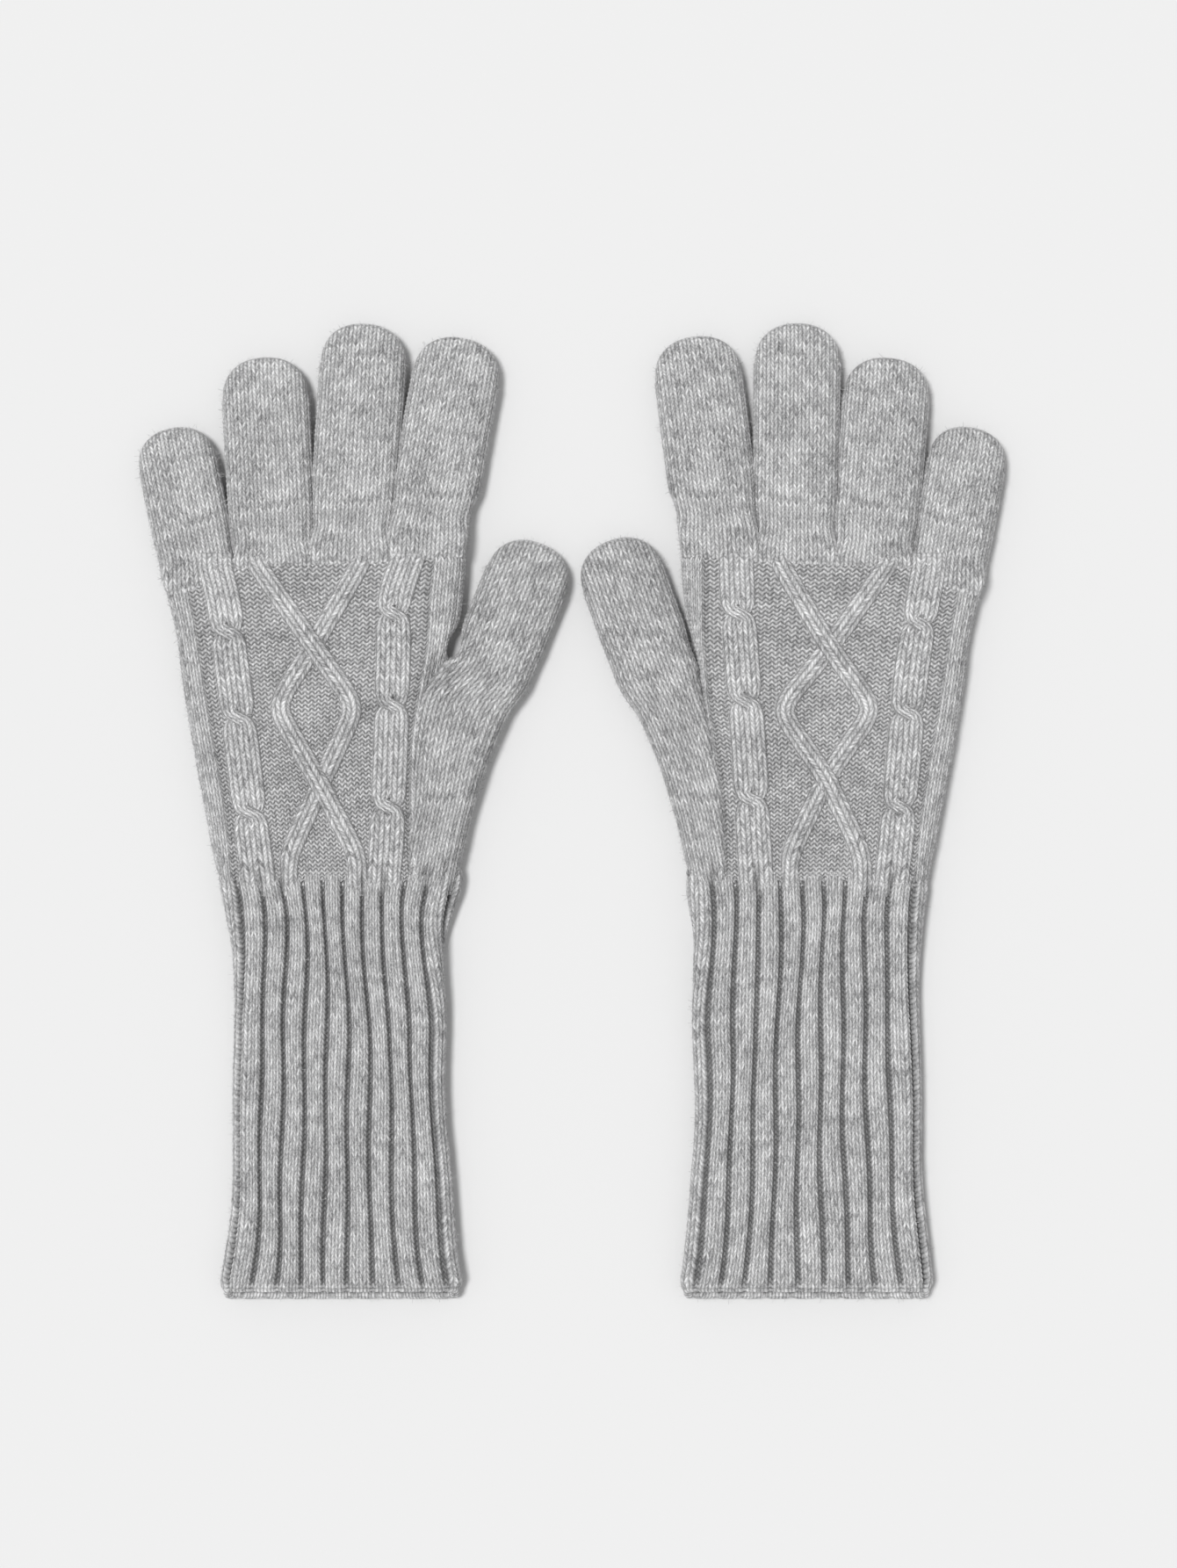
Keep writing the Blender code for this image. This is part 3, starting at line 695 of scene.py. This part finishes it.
def cuffPiece(glove):
    # ribs round a flat tube, rolled over at the hem into the inside; the lower layer ends lower
    shape = cuffShape
    halves = list(zip(shape["heights"], gloves[glove]["cuffHalf"]))
    per = yarn["columns"]
    knit = shape["knitWales"]
    outerRows = rowsIn(shape["front"] + shape["rise"], shape["course"], yarn["rows"])
    phase = np.concatenate([np.linspace(0, 1 - shape["grooveShare"], knit * per, endpoint=False),
                            1 - shape["grooveShare"] * np.array([1.0, 0.62, 0.31])])
    inKnit = np.concatenate([np.ones(knit * per), np.zeros(3)])
    inKnit[0] = 0.6
    waleIn = np.concatenate([np.arange(knit * per) / per, knit + np.array([0.0, 0.33, 0.66])])
    around = (np.arange(shape["ribs"])[:, None] + phase[None, :]).reshape(-1) / shape["ribs"]
    wale = (np.arange(shape["ribs"])[:, None] * (knit + 1) + waleIn[None, :]).reshape(-1)
    knitShare = np.tile(inKnit, shape["ribs"])
    lobePhase = np.tile(phase / (1 - shape["grooveShare"]), shape["ribs"])
    lobe = np.where(lobePhase < 1, np.sin(np.pi * np.clip(lobePhase, 0, 1)) ** 0.36, 0.0)
    groove = np.where(lobePhase >= 1, -0.45 * np.sin(np.pi * np.clip((lobePhase - 1) / 0.22, 0, 1)), 0.0)
    # measured from the middle of the back, which a rib runs down
    around = (around - 0.5 * (1 - shape["grooveShare"]) / shape["ribs"] + 0.5) % 1.0 - 0.5
    order = np.argsort(around)
    around, wale, knitShare = around[order], wale[order], knitShare[order]
    lobe, groove = lobe[order], groove[order]
    closer, shift = gloves[glove]["wristRibs"]
    rows, reliefRows, ribRows, courseRows, shadeRows = [], [], [], [], []

    def ring(y, inset):
        half = softLine(halves, y) - 0.9
        low, high = shape["low"] + inset, shape["high"] - inset
        r = max(0.6, shape["corner"] - inset)
        length = perimeter(-half + inset, half - inset, low, high, r)
        # by the wrist the ribs of the back are drawn closer together, and to the little finger's side
        nearWrist = smooth(-52, 6, y)
        turned = around - (1 - closer) * nearWrist * np.sin(2 * np.pi * around) / (2 * np.pi)
        turned = (turned + (shift * nearWrist - 0.9 * (1 - nearWrist)) / length + 0.25) % 1.0
        x, z, _ = section(-half + inset, half - inset, low, high, r, turned * length)
        mid = (low + high) / 2
        z = mid + (z - mid) * (1 - 0.25 * smooth(0.2, 2.2, y))
        overTop = smooth(shape["low"] + 1, shape["high"] - 1, z)
        hem = shape["front"] * overTop + shape["back"] * (1 - overTop)
        wander = 0.34 * np.sin(y / 9.0 + x / 5.0) + 0.40 * np.sin(y / 27.0 + x / 11.0 + gloves[glove]["seed"])
        wander = wander * smooth(0, 14, -y)
        return np.stack([x + wander, y / shape["front"] * hem, z], axis=1)

    for i in range(outerRows):
        y = shape["rise"] - (shape["front"] + shape["rise"]) * i / (outerRows - 1)
        rows.append(ring(y, 0.0))
        fade = smooth(-shape["front"] - 0.2, -shape["front"] + 3.6, y)
        reliefRows.append(knitShare * (0.35 + 0.65 * fade))
        begun = 0.40 + 0.60 * (1 - smooth(-5.0, 1.5, y))
        ribRows.append((lobe + groove) * (0.25 + 0.75 * fade) * begun)
        courseRows.append(i / yarn["rows"])
        shadeRows.append(0.1 + 0.9 * fade)
    # over the lip at the hem, and back up inside
    for turn in (35, 75, 115, 150):
        angle = math.radians(turn)
        inset = shape["wall"] / 2 * (1 - math.cos(angle))
        drop = 0.55 * math.sin(angle)
        edge = ring(-shape["front"], inset)
        edge[:, 1] -= drop
        rows.append(edge)
        reliefRows.append(knitShare * 0.25)
        ribRows.append((lobe + groove) * 0.25 * (1 - turn / 180))
        courseRows.append(courseRows[-1] + 0.3)
        shadeRows.append(0.1)
    for i in range(shape["innerRows"]):
        y = -shape["front"] + (shape["front"] - 3.0) * (i / (shape["innerRows"] - 1)) ** 1.6
        rows.append(ring(y, shape["wall"]))
        reliefRows.append(knitShare * 0.0)
        ribRows.append(lobe * 0.0)
        courseRows.append(courseRows[-1] + 3)
        shadeRows.append(0.3)
    points = np.array(rows)
    outer = sheared(points[:outerRows], wale, 1 - knitShare, yarn["rows"])
    points = np.concatenate([outer, points[outerRows:]])
    # painted shade: the grooves between the ribs are drawn darker, less so by the hem, over its lip and
    # inside the cuff
    valleyShade = np.clip(1.05 - lobe * 1.55, 0, 1)
    layers = {"wale": wale[None, :], "course": np.array(courseRows)[:, None],
              "purl": (1 - knitShare)[None, :], "groove": valleyShade[None, :] * np.array(shadeRows)[:, None],
              "relief": np.array(reliefRows), "rib": np.array(ribRows)}
    return gridMesh(f"{glove}_cuff_knit", glove, points, layers)


cableShape = {
    "course": 1.50, "wales": 2, "root": 1.0,     # root: how deep a cord's base is sunk in the ground
    "strandWidth": 6.9, "strandHeight": 2.5, "strandFlatness": 2.1, "easing": 4.8, "strandReach": 4.2,
    "columnWidth": 6.7, "columnHeight": 2.0, "columnFlatness": 4.0, "spread": 2.5, "crossing": 6.0,
    "pinch": 0.38, "columnReach": 2.6,
    "over": 0.95, "under": 0.85,                 # how far the cords rise and sink where they cross
}


def ropePiece(name, glove, xs, ys, lifts, width, height, flatness):
    # a cord of knit that lies along a path on the purl ground
    shape = cableShape
    wales = shape["wales"]
    path = np.stack([xs, ys], axis=1)
    lengths = np.concatenate(([0], np.cumsum(np.hypot(*np.diff(path, axis=0).T))))
    rowCount = rowsIn(lengths[-1], shape["course"], yarn["rows"])
    at = np.linspace(0, lengths[-1], rowCount)
    x, y = np.interp(at, lengths, xs), np.interp(at, lengths, ys)
    lift = np.interp(at, lengths, lifts)
    wide = np.interp(at, lengths, np.broadcast_to(width, np.shape(xs)))[:, None] / 2
    dx, dy = np.gradient(x), np.gradient(y)
    length = np.hypot(dx, dy)
    side = np.stack([-dy / length, dx / length], axis=1)
    per = yarn["columns"]
    margin = 0.25
    topWale = np.arange(-margin, wales + margin + 1e-6, 1 / per)
    turn = (topWale + margin) / (wales + 2 * margin) * 2 - 1
    across = np.sign(turn) * (1 - (1 - np.abs(turn)) ** 1.25)
    profile = (1 - np.abs(across) ** flatness) ** (1 / flatness)
    across = np.concatenate([across, [0.75, -0.75]])
    profile = np.concatenate([profile, [-shape["root"] / height] * 2])
    wale = np.concatenate([topWale, [wales, 0]])
    relief = np.concatenate([0.25 + 0.75 * (np.abs(turn) < 0.97), [0, 0]])
    px = x[:, None] + side[:, 0:1] * across[None, :] * wide
    py = y[:, None] + side[:, 1:2] * across[None, :] * wide
    ground = handTop(x, y) - handShape["panelSink"]
    pz = (ground + lift)[:, None] + profile[None, :] * height
    points = np.stack([px, py, pz], axis=-1)
    points[:, :len(topWale)] = sheared(points, wale, np.zeros_like(wale), yarn["rows"])[:, :len(topWale)]
    grooves = ribGrooves(glove, points[..., 0], points[..., 1])
    # painted shade: the rib grooves at the cords' wrist ends are drawn darker
    layers = {"wale": wale[None, :], "course": np.arange(rowCount)[:, None] / yarn["rows"],
              "purl": none, "relief": relief[None, :], "groove": grooves * 0.7, "rib": -grooves / ribHeight}
    return gridMesh(name, glove, points, layers)


cableSizes = {"Knit Height": 0.32 * mm, "Unevenness": 0.22 * mm}


def mockCable(glove, name, line, crossings):
    # two cords side by side that change places at each crossing
    shape = cableShape
    ys = np.linspace(103.0, -6.0, 440)
    centre = softLine([(y, x) for x, y in line], ys)
    half = shape["spread"]
    swap = np.zeros_like(ys)
    pinch = np.zeros_like(ys)
    overs = np.zeros_like(ys)
    for n, crossing in enumerate(crossings):
        change = 1 - smooth(crossing - shape["crossing"] / 2, crossing + shape["crossing"] / 2, ys)
        swap = swap + change
        near = np.exp(-((ys - crossing) / shape["columnReach"]) ** 2)
        pinch = pinch + near
        overs = overs + near * (1 if n % 2 == 0 else -1)
    # position runs between -1 and 1 and back at each crossing
    place = np.cos(math.pi * swap)
    cords = []
    for n, sign in enumerate((-1, 1)):
        xs = centre + sign * gloves[glove]["side"] * half * place
        goingOver = overs * (1 if n == 0 else -1)
        lifts = np.where(goingOver > 0, goingOver * shape["over"], goingOver * shape["under"] * 1.5)
        lifts = lifts - 0.6 * smooth(97.0, 101.0, ys) - 1.9 * (1 - smooth(-6.0, 1.0, ys))
        width = shape["columnWidth"] * (1 - shape["pinch"] * pinch)
        cords.append(ropePiece(f"{glove}_{name}_cord_{n + 1}", glove, xs, ys, lifts, width,
                               shape["columnHeight"], shape["columnFlatness"]))
    return cords


def diamondCable(glove):
    # two strands that cross, part and cross again down the middle of the back
    shape = cableShape
    d = gloves[glove]["diamond"]
    ys = np.linspace(102.0, -6.0, 440)
    leftWide, rightWide, wideY = d["wide"]
    # straight runs between the crossings, with the corners eased
    routes = [
        ((d["tops"][0] - 2.0, 102), d["first"], (rightWide + 1.2, wideY), d["second"], (d["ends"][0], 7.0),
         (d["ends"][0], -6.0)),
        ((d["tops"][1] + 1.6, 102), d["first"], (leftWide - 1.2, wideY), d["second"], (d["ends"][1], 7.0),
         (d["ends"][1], -6.0)),
    ]
    firstY, secondY = d["first"][1], d["second"][1]
    spacing = ys[0] - ys[1]
    kernel = np.exp(-(np.arange(-28, 29) * spacing / shape["easing"]) ** 2)
    cords = []
    flip = 0 if gloves[glove]["side"] > 0 else 1
    for n, route in enumerate(routes):
        xs = np.interp(-ys, [-y for x, y in route], [x for x, y in route])
        xs = np.convolve(np.pad(xs, 28, mode="edge"), kernel / kernel.sum(), mode="valid")
        first = np.exp(-((ys - firstY) / shape["strandReach"]) ** 2)
        second = np.exp(-((ys - secondY) / shape["strandReach"]) ** 2)
        sign = 1 if n == flip else -1
        goingOver = (first - second) * sign
        lifts = np.where(goingOver > 0, goingOver * shape["over"], goingOver * shape["under"])
        lifts = lifts - 0.8 * smooth(98.0, 101.5, ys) - 2.0 * (1 - smooth(-6.0, 1.0, ys))
        cords.append(ropePiece(f"{glove}_diamond_strand_{n + 1}", glove, xs, ys, lifts,
                               shape["strandWidth"], shape["strandHeight"], shape["strandFlatness"]))
    return cords


def finished(obj, wool, tree, seed, **sizes):
    knitted(obj, tree, wool, seed, **sizes)
    return obj


def buildGlove(glove, wool, tree):
    seed = gloves[glove]["seed"]
    hand = finished(handPiece(glove), wool, tree, seed)
    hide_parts(f"{glove}_hand")
    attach(hand, f"{glove}_hand")
    print(glove, "hand", len(hand.data.polygons))
    cables = mockCable(glove, "thumb_side", gloves[glove]["thumbColumn"], gloves[glove]["thumbCrossings"])
    cables += mockCable(glove, "little_side", gloves[glove]["littleColumn"], gloves[glove]["littleCrossings"])
    cables += diamondCable(glove)
    for n, cable in enumerate(cables):
        finished(cable, wool, tree, seed + n, **cableSizes)
        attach(cable, f"{glove}_hand")
    print(glove, "cables", sum(len(c.data.polygons) for c in cables))
    for n, digit in enumerate(gloves[glove]["lean"]):
        piece = finished(digitPiece(glove, digit), wool, tree, seed + 20 + n)
        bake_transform(piece)
        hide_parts(f"{glove}_{digit}")
    print(glove, "fingers done")
    thumb = finished(thumbPiece(glove), wool, tree, seed + 30)
    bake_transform(thumb)
    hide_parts(f"{glove}_thumb")
    print(glove, "thumb and gusset", len(thumb.data.polygons))
    cuff = finished(cuffPiece(glove), wool, tree, seed + 40, **cuffSizes)
    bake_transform(cuff)
    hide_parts(f"{glove}_cuff", f"{glove}_cuff_welt")
    print(glove, "cuff", len(cuff.data.polygons))


# places in the studio are in metres
studio = {"floorColour": (0.72, 0.72, 0.72, 1), "floorHalf": 6.0, "ambient": 0.49,
          "keyStrength": 2.36, "keySpread": 14.0, "keyFrom": (-0.27, 0.11, 1.0),
          "cameraHeight": 1.186, "cameraShift": (0.0052, 0.0091), "lens": 85.0}


def softSun(name, place, spread, strength):
    light = bpy.data.lights.new(name, "SUN")
    light.energy = strength
    light.angle = math.radians(spread)
    obj = bpy.data.objects.new(name, light)
    bpy.context.scene.collection.objects.link(obj)
    obj.location = place
    obj.rotation_euler = (-obj.location).to_track_quat("-Z", "Y").to_euler()
    return obj


def buildStudio():
    mesh = bpy.data.meshes.new("table")
    size = studio["floorHalf"]
    corners = [(-size, -size, 0), (size, -size, 0), (size, size, 0), (-size, size, 0)]
    mesh.from_pydata(corners, [], [(0, 1, 2, 3)])
    table = bpy.data.objects.new("table", mesh)
    bpy.context.scene.collection.objects.link(table)
    material = bpy.data.materials.new("paleTable")
    material.use_nodes = True
    feed(material.node_tree, material.node_tree.nodes["Principled BSDF"],
         {"Base Color": studio["floorColour"], "Roughness": 0.95, "Specular IOR Level": 0.1})
    mesh.materials.append(material)
    world = bpy.data.worlds.new("softRoom")
    world.use_nodes = True
    feed(world.node_tree, world.node_tree.nodes["Background"],
         {"Color": (1, 1, 1, 1), "Strength": studio["ambient"]})
    bpy.context.scene.world = world
    softSun("key", studio["keyFrom"], studio["keySpread"], studio["keyStrength"])
    camera = bpy.data.cameras.new("camera")
    camera.lens = studio["lens"]
    view = bpy.data.objects.new("camera", camera)
    bpy.context.scene.collection.objects.link(view)
    view.location = (*studio["cameraShift"], studio["cameraHeight"])
    view.rotation_euler = (0, 0, 0)
    bpy.context.scene.camera = view
    bpy.context.scene.view_settings.view_transform = "Standard"
    print("studio done")


buildStudio()
wool = woolMaterial()
tree = stitchTree()
for glove in gloves:
    buildGlove(glove, wool, tree)
